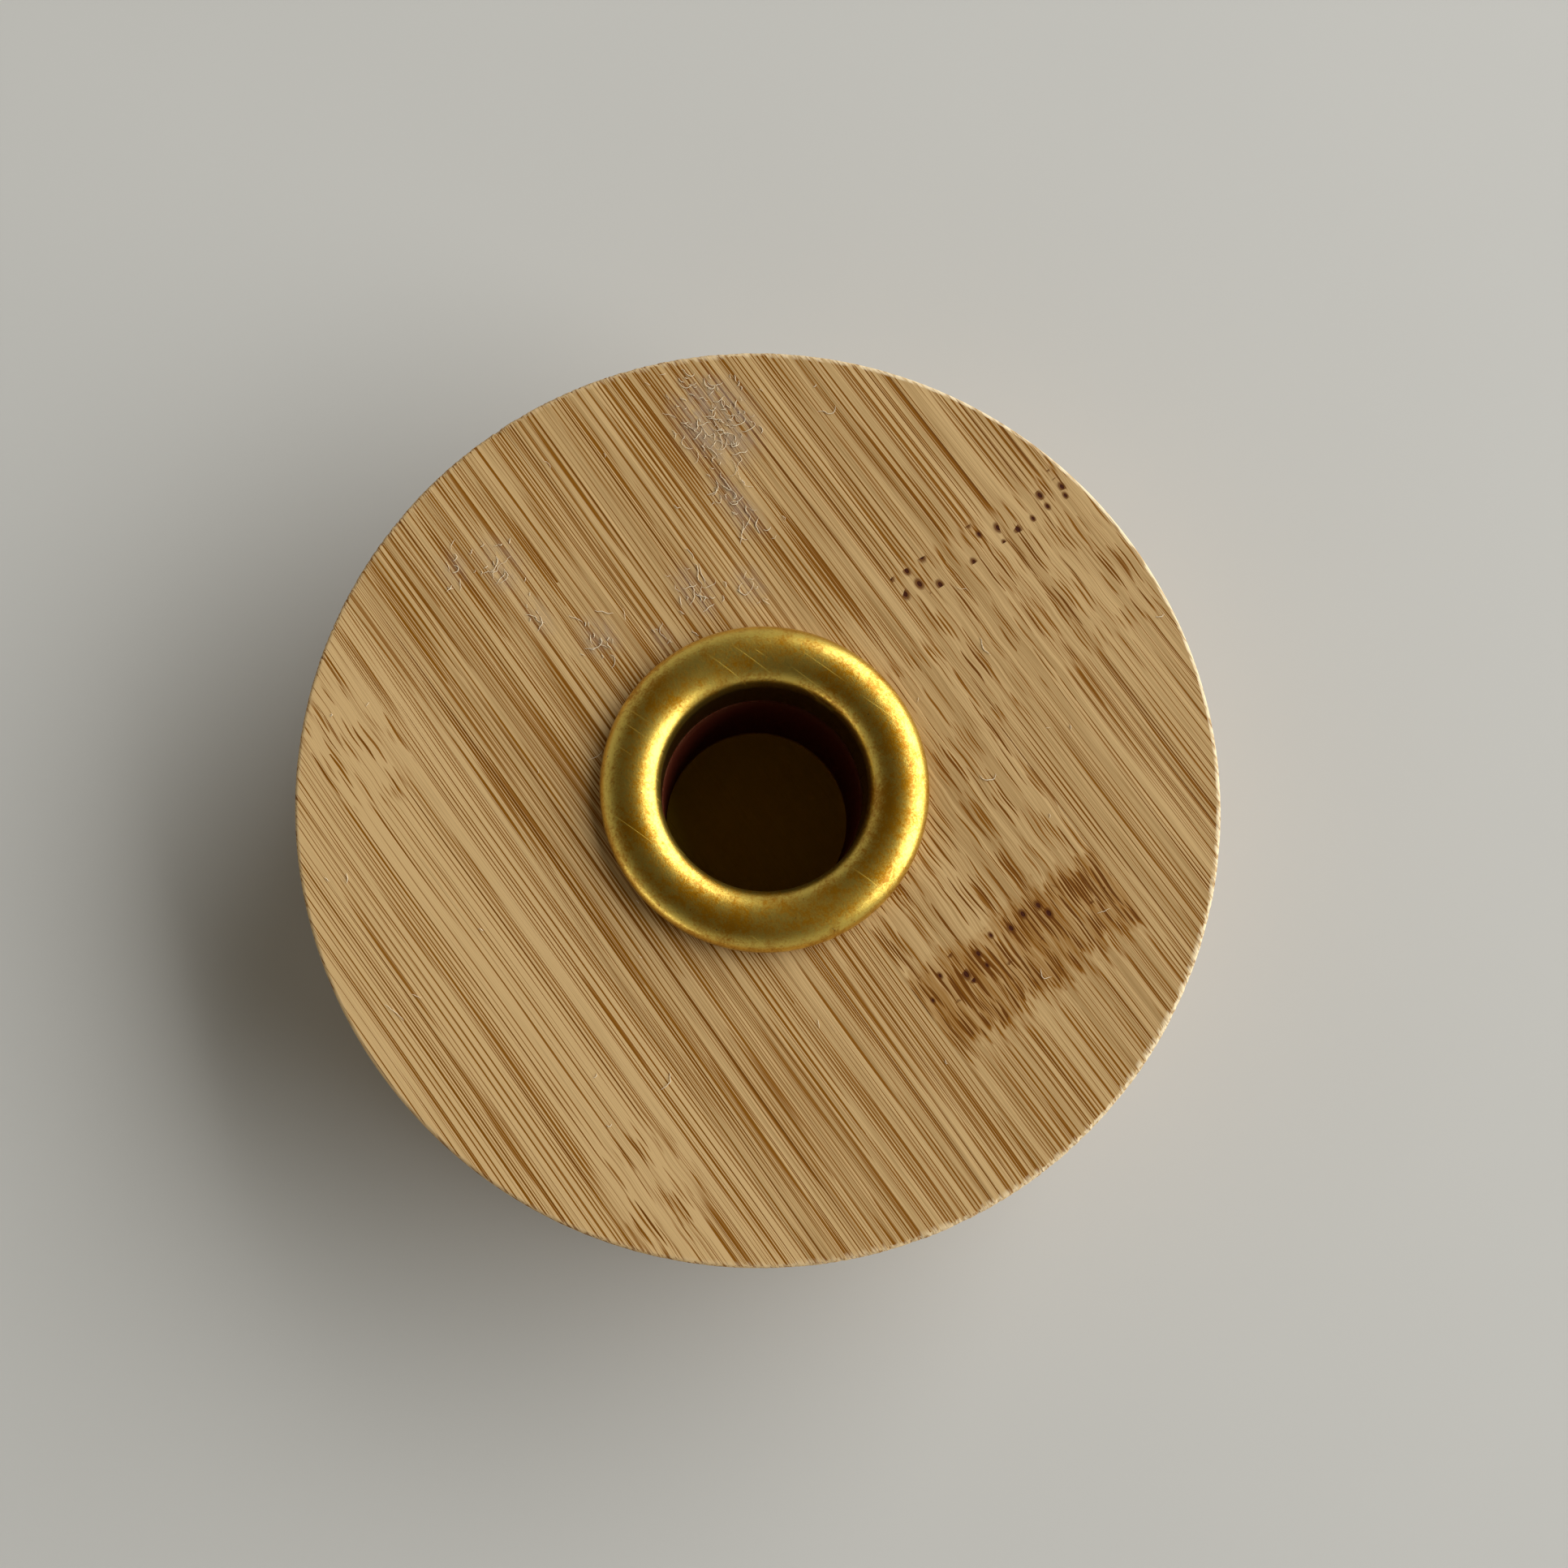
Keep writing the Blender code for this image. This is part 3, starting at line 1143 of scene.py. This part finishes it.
    def dress_top(self, mesh: bpy.types.Mesh, points_mm: np.ndarray) -> None:
        """Writes where the top face is scuffed, which points are lifted fibres, and how pale the rim is.

        The rim is paler on the side towards the window light, a painted highlight on top of its pale torn
        fibres: by a constant plus the cosine of the turn from that heading.

        Args:
            mesh: The strip's mesh.
            points_mm: Its points in mm.
        """
        top = self.z_high / MM
        x, y, z = points_mm.T
        total = sum((mark.at(points_mm) for mark in SCUFFS), np.zeros(len(points_mm)))
        set_numbers(mesh, "scuff", np.clip(total, 0.0, 1.0) * (z > top - 0.5))
        set_numbers(mesh, "fuzz", z > top + 0.004)
        rim = np.hypot(x, y) - (self.radius - self.rim_round) / MM
        shown = (rim > -0.06) & (z > top - self.rim_round / MM - 0.40)
        # Painted highlight: the rim is paler towards the window's heading.
        turn = np.arctan2(y, x) - math.radians(self.rim_highlight_heading)
        set_numbers(mesh, "worn_and_lit_rim", shown * np.clip(0.45 + 0.75 * np.cos(turn), 0.12, 1.0))

    def dress_bore(self, mesh: bpy.types.Mesh, points_mm: np.ndarray) -> None:
        """Writes which points lie on the socket's wall, which gets painted shade, and which on its floor,
        which gets a painted bounce light.

        Args:
            mesh: The strip's mesh.
            points_mm: Its points in mm.
        """
        x, y, z = points_mm.T
        last_radius, last_height = self.bore[-1]
        inside = np.hypot(x, y) < self.bore[0][0] / MM + 0.2
        on_floor = inside & (last_radius == 0.0) & (z < last_height / MM + 0.05)
        set_numbers(mesh, "bore_wall_painted_shade", inside & ~on_floor)
        set_numbers(mesh, "bore_floor_painted_bounce_light", on_floor)


@dataclass
class BambooBlock:
    """The turned block, strip by strip."""

    nodes: list[str]
    ferrule_low: Vector
    ferrule_high: Vector
    finish: BambooFinish = BambooFinish()
    socket_radius: float = 11.15 * MM
    counterbore_radius: float = 12.05 * MM
    counterbore_clearance: float = 0.3 * MM
    socket_floor: float = 3.7 * MM

    def socket(self, low: float, high: float) -> tuple[tuple[float, float], ...]:
        """Cuts the socket's wall out between two heights.

        Args:
            low: The lower height.
            high: The upper height.

        Returns:
            (radius, height) points from the top down, ending at a radius of 0 where the floor is.
        """
        ledge = self.ferrule_low.z - self.counterbore_clearance
        upper = self.counterbore_radius if high > ledge else self.socket_radius
        wall = [(upper, high)]
        if low < ledge < high:
            wall += [(self.counterbore_radius, ledge), (self.socket_radius, ledge)]
        if low < self.socket_floor < high:
            return (*wall, (self.socket_radius, self.socket_floor), (0.0, self.socket_floor))
        return (*wall, (wall[-1][0], low))

    def build(self) -> list[bpy.types.Object]:
        """Makes every strip, and returns the pieces.

        Returns:
            The pieces, in the order of the nodes.
        """
        material = self.finish.material()
        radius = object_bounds()[1][0]
        pieces = []
        for seed, node in enumerate(self.nodes, start=11):
            low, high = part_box(node)
            strip = BambooStrip(node, radius, low, high, (), seed)
            beside = strip.y_low > self.socket_radius or strip.y_high < -self.socket_radius
            if strip.z_high > self.socket_floor and not beside:
                strip.bore = self.socket(strip.z_low, strip.z_high)
            pieces.append(strip.build(material))
            LOG.info("%s: %d faces", pieces[-1].name, len(pieces[-1].data.polygons))
        return pieces


# ---------------------------------------------------------------- the ferrule


@dataclass
class BrassFerrule:
    """The drawn brass sleeve whose mouth is rolled over into a hollow lip.

    Attributes:
        low: The lowest corner of the node's box.
        high: The highest corner of the node's box.
        block_top: The height of the wood that the lip stands on.
        spring: The height above the wood where the lip is widest.
        tuck: The depth of the ellipse below that height.
        foot: The turn of the lip's foot below its widest place, in degrees.
        wobble: How far the lip is off its true round.
        crown_shade_start: The height above the wood where painted shade on the lip's top starts, as extra
            tarnish where that face sees the dark ceiling.
        crown_shade_fade: The height over which that grows.
    """

    low: Vector
    high: Vector
    block_top: float
    finish: BrassFinish = BrassFinish()
    barrel_radius: float = 11.25 * MM
    sheet: float = 0.5 * MM
    spring: float = 0.9 * MM
    tuck: float = 1.35 * MM
    foot: float = 38.0
    turns: int = 288
    roll_steps: int = 44
    wobble: float = 0.035 * MM
    crown_shade_start: float = 2.45 * MM
    crown_shade_fade: float = 0.40 * MM

    def arc(self, shrink: float) -> np.ndarray:
        """Goes over the roll from its outer foot to the barrel.

        The outer half is an ellipse that starts a little under its widest place, so that the lip tucks in to
        the wood. The inner half falls into the barrel's straight wall.

        Args:
            shrink: The distance to the sheet's outer face.

        Returns:
            (radius, height) points.
        """
        outer = self.high.x - shrink
        inner = self.barrel_radius + shrink
        centre = (outer + inner) / 2.0
        spring = self.block_top + self.spring
        turn = np.radians(np.linspace(-self.foot, 180.0, self.roll_steps))
        half_width = (outer - inner) / 2.0
        rise = np.where(turn > 0.0, self.high.z - spring - shrink, self.tuck - shrink * 0.2)
        return np.stack([centre + half_width * np.cos(turn), spring + rise * np.sin(turn)], 1)

    def profile(self) -> np.ndarray:
        """The closed outline of the sheet: over the roll, down the barrel, and back along the hidden side.

        Returns:
            The outline's points, one a row: the radius and the height in metres.
        """
        outside = self.arc(0.0)
        inside = self.arc(self.sheet)
        depths = np.linspace(outside[-1, 1], self.low.z + 0.1 * MM, 12)[1:]
        barrel = np.stack([np.full_like(depths, self.barrel_radius), depths], 1)
        bevel = (self.barrel_radius + 0.12 * MM, self.low.z)
        heel = (self.barrel_radius + self.sheet, self.low.z + 0.05 * MM)
        return np.concatenate([outside, barrel, [bevel, heel], inside[::-1]])

    def build(self) -> bpy.types.Object:
        """Turns the outline round Z, with a slight hand-made unevenness, and dresses the piece.

        The unevenness moves a point along its radius by waves of 2, 3 and 5 lobes round the ring. It is only
        ever taken off, and it fades to nothing down the barrel.

        Returns:
            The piece, which stands for the ferrule's node.
        """
        profile = self.profile()
        turn = np.linspace(0.0, 2.0 * math.pi, self.turns, endpoint=False)
        lobes = (2.0 + np.sin(2 * turn + 0.6) + 0.6 * np.sin(3 * turn + 2.1) + 0.4 * np.sin(5 * turn)) / 4.0
        share = np.clip((profile[:, 0] - self.barrel_radius) / (3.0 * MM), 0.0, 1.0)
        radius = profile[:, :1] - self.wobble * share[:, None] * lobes[None, :]
        height = np.repeat(profile[:, 1:], self.turns, axis=1)
        grid = np.stack([radius * np.cos(turn), radius * np.sin(turn), height], axis=-1)
        loop = np.concatenate([grid, grid[:1]])
        loop = np.concatenate([loop, loop[:, :1]], axis=1)
        rows, columns, _ = loop.shape
        kept = np.ones((rows - 1, columns - 1), bool)
        faces = grid_triangles(rows, columns, 0, kept, flip=False)
        piece = add_piece("rolled_brass_ferrule", loop.reshape(-1, 3), faces, [], self.finish.material())
        self.dress(piece.data)
        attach(piece, BODY)
        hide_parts("brass_ferrule")
        LOG.info("%s: %d faces", piece.name, len(piece.data.polygons))
        return piece

    def dress(self, mesh: bpy.types.Mesh) -> None:
        """Writes where the barrel and the lip's top get painted shade.

        Args:
            mesh: The ferrule's mesh.
        """
        x, y, z = mesh_points(mesh).T
        # Painted shade: the barrel darkens below the wood's top.
        below = np.clip((self.block_top + 0.6 * MM - z) / (1.2 * MM), 0.0, 1.0)
        inside = np.hypot(x, y) < self.barrel_radius + self.sheet + 0.1 * MM
        set_numbers(mesh, "barrel", below * inside)
        # Painted shade on the lip's top, which faces the dark ceiling.
        above = (z - self.block_top - self.crown_shade_start) / self.crown_shade_fade
        set_numbers(mesh, "crown_shade", np.clip(above, 0.0, 1.0))


# ---------------------------------------------------------------- the studio


@dataclass
class Studio:
    """The floor, the light and the camera.

    Attributes:
        radius: The block's radius.
        top: The height of the block's top face.
        heading: The turn of the picture's right-hand side from +X, in degrees. The lights' headings count
            from there.
        view_tilt: World up along the camera's right and up sides.
        view_distance: The camera's distance, in block radii.
        view_offset: Where the middle of the top face is seen, in block radii.
        sky_band: The sines of the heights between which the low sky goes over to the high one.
    """

    radius: float
    top: float
    heading: float = 54.3
    view_tilt: tuple[float, float] = (0.0514, 0.163)
    view_distance: float = 3.39
    view_offset: tuple[float, float] = (-0.0413, -0.0095)
    lens: float = 36.06
    light_heading: float = 17.0
    light_height: float = 30.5
    light_distance: float = 4.2
    light_size: tuple[float, float] = (8.0, 3.8)
    light_power: float = 392.0
    light_colour: Colour = (1.0, 0.995, 0.985)
    wall_heading: float = 222.0
    wall_height: float = 3.6
    wall_distance: float = 2.4
    wall_size: tuple[float, float] = (1.6, 0.20)
    wall_power: float = 4.5
    wall_colour: Colour = (1.0, 0.96, 0.88)
    sky_low: Colour = (0.43, 0.418, 0.384)
    sky_high: Colour = (0.058, 0.048, 0.029)
    sky_band: tuple[float, float] = (0.25, 0.85)
    floor_half: float = 3.0

    def build(self) -> None:
        """Makes them all."""
        self.floor()
        self.lights()
        self.world()
        self.camera()

    def floor(self) -> None:
        """A plain square floor under the block."""
        size = self.floor_half
        mesh = bpy.data.meshes.new("floor")
        corners = [(-size, -size, 0.0), (size, -size, 0.0), (size, size, 0.0), (-size, size, 0.0)]
        mesh.from_pydata(corners, [], [(0, 1, 2, 3)])
        mesh.materials.append(FloorFinish().material())
        floor = bpy.data.objects.new("floor", mesh)
        bpy.context.scene.collection.objects.link(floor)
        floor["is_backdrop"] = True

    def lights(self) -> None:
        """A broad window on one side, and a pale wall low down on the other."""
        window = self.panel("window_light", self.light_heading, self.light_height, self.light_distance)
        window.size, window.size_y = self.light_size
        window.energy = self.light_power
        window.color = self.light_colour
        wall = self.panel("wall_light", self.wall_heading, self.wall_height, self.wall_distance)
        wall.size, wall.size_y = self.wall_size
        wall.energy = self.wall_power
        wall.color = self.wall_colour

    def panel(self, name: str, heading: float, height: float, distance: float) -> bpy.types.AreaLight:
        """Adds one rectangular light that faces the block.

        Args:
            name: The light's name.
            heading: Its heading from the picture's right-hand side, in degrees.
            height: Its height above the horizon, in degrees.
            distance: Its distance.

        Returns:
            The light, whose size, power and colour are still to be set.
        """
        turn = math.radians(self.heading + heading)
        rise = math.radians(height)
        toward = Vector((math.cos(turn) * math.cos(rise), math.sin(turn) * math.cos(rise), math.sin(rise)))
        light = bpy.data.lights.new(name, "AREA")
        light.shape = "RECTANGLE"
        lamp = bpy.data.objects.new(name, light)
        facing = toward.to_track_quat("Z", "Y").to_matrix().to_4x4()
        lamp.matrix_world = Matrix.Translation(toward * distance) @ facing
        bpy.context.scene.collection.objects.link(lamp)
        return light

    def world(self) -> None:
        """A dim room: pale walls low down and a dark ceiling, by the height of the direction seen."""
        world = bpy.data.worlds.new("studio")
        world.use_nodes = True
        tree = world.node_tree
        place = tree.nodes.new("ShaderNodeTexCoord")
        parts = tree.nodes.new("ShaderNodeSeparateXYZ")
        ramp = tree.nodes.new("ShaderNodeMapRange")
        blend = tree.nodes.new("ShaderNodeMix")
        blend.data_type = "RGBA"
        ramp.interpolation_type = "SMOOTHSTEP"
        ramp.inputs["From Min"].default_value = self.sky_band[0]
        ramp.inputs["From Max"].default_value = self.sky_band[1]
        blend.inputs[6].default_value = (*self.sky_low, 1.0)
        blend.inputs[7].default_value = (*self.sky_high, 1.0)
        tree.links.new(place.outputs["Generated"], parts.inputs[0])
        tree.links.new(parts.outputs["Z"], ramp.inputs["Value"])
        tree.links.new(ramp.outputs["Result"], blend.inputs[0])
        tree.links.new(blend.outputs[2], tree.nodes["Background"].inputs["Color"])
        bpy.context.scene.world = world

    def camera(self) -> None:
        """The camera, nearly overhead.

        It looks straight down at first, with the picture's right side at the heading. Then it is tilted
        until world up has the given parts along its right and up sides.
        """
        right_up = Vector(self.view_tilt)
        up_seen = Vector((*right_up, math.sqrt(1.0 - right_up.length_squared)))
        overhead = Matrix.Rotation(math.radians(self.heading), 3, "Z")
        turned = overhead @ up_seen.rotation_difference(Vector((0.0, 0.0, 1.0))).to_matrix()
        depth = self.view_distance * self.radius
        seen = Vector((self.view_offset[0] * self.radius, self.view_offset[1] * self.radius, -depth))
        place = Vector((0.0, 0.0, self.top)) - turned @ seen
        data = bpy.data.cameras.new("camera")
        data.lens = self.lens
        data.sensor_width = 36.0
        data.clip_start = 0.01
        camera = bpy.data.objects.new("camera", data)
        camera.matrix_world = Matrix.Translation(place) @ turned.to_4x4()
        bpy.context.scene.collection.objects.link(camera)
        bpy.context.scene.camera = camera


def main() -> None:
    """Builds the holder and the studio."""
    logging.basicConfig(level=logging.INFO, format="%(message)s")
    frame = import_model()
    cad_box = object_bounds()
    bpy.context.scene.view_settings.view_transform = "Standard"
    strips = sorted(node for node in frame["nodes"] if "_strip_" in node)
    ferrule_low, ferrule_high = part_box("brass_ferrule")
    block_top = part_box("top_ply_strip_2")[1].z
    BambooBlock(strips, ferrule_low, ferrule_high).build()
    BrassFerrule(ferrule_low, ferrule_high, block_top).build()
    Studio(cad_box[1][0], block_top).build()


if __name__ == "__main__":
    main()
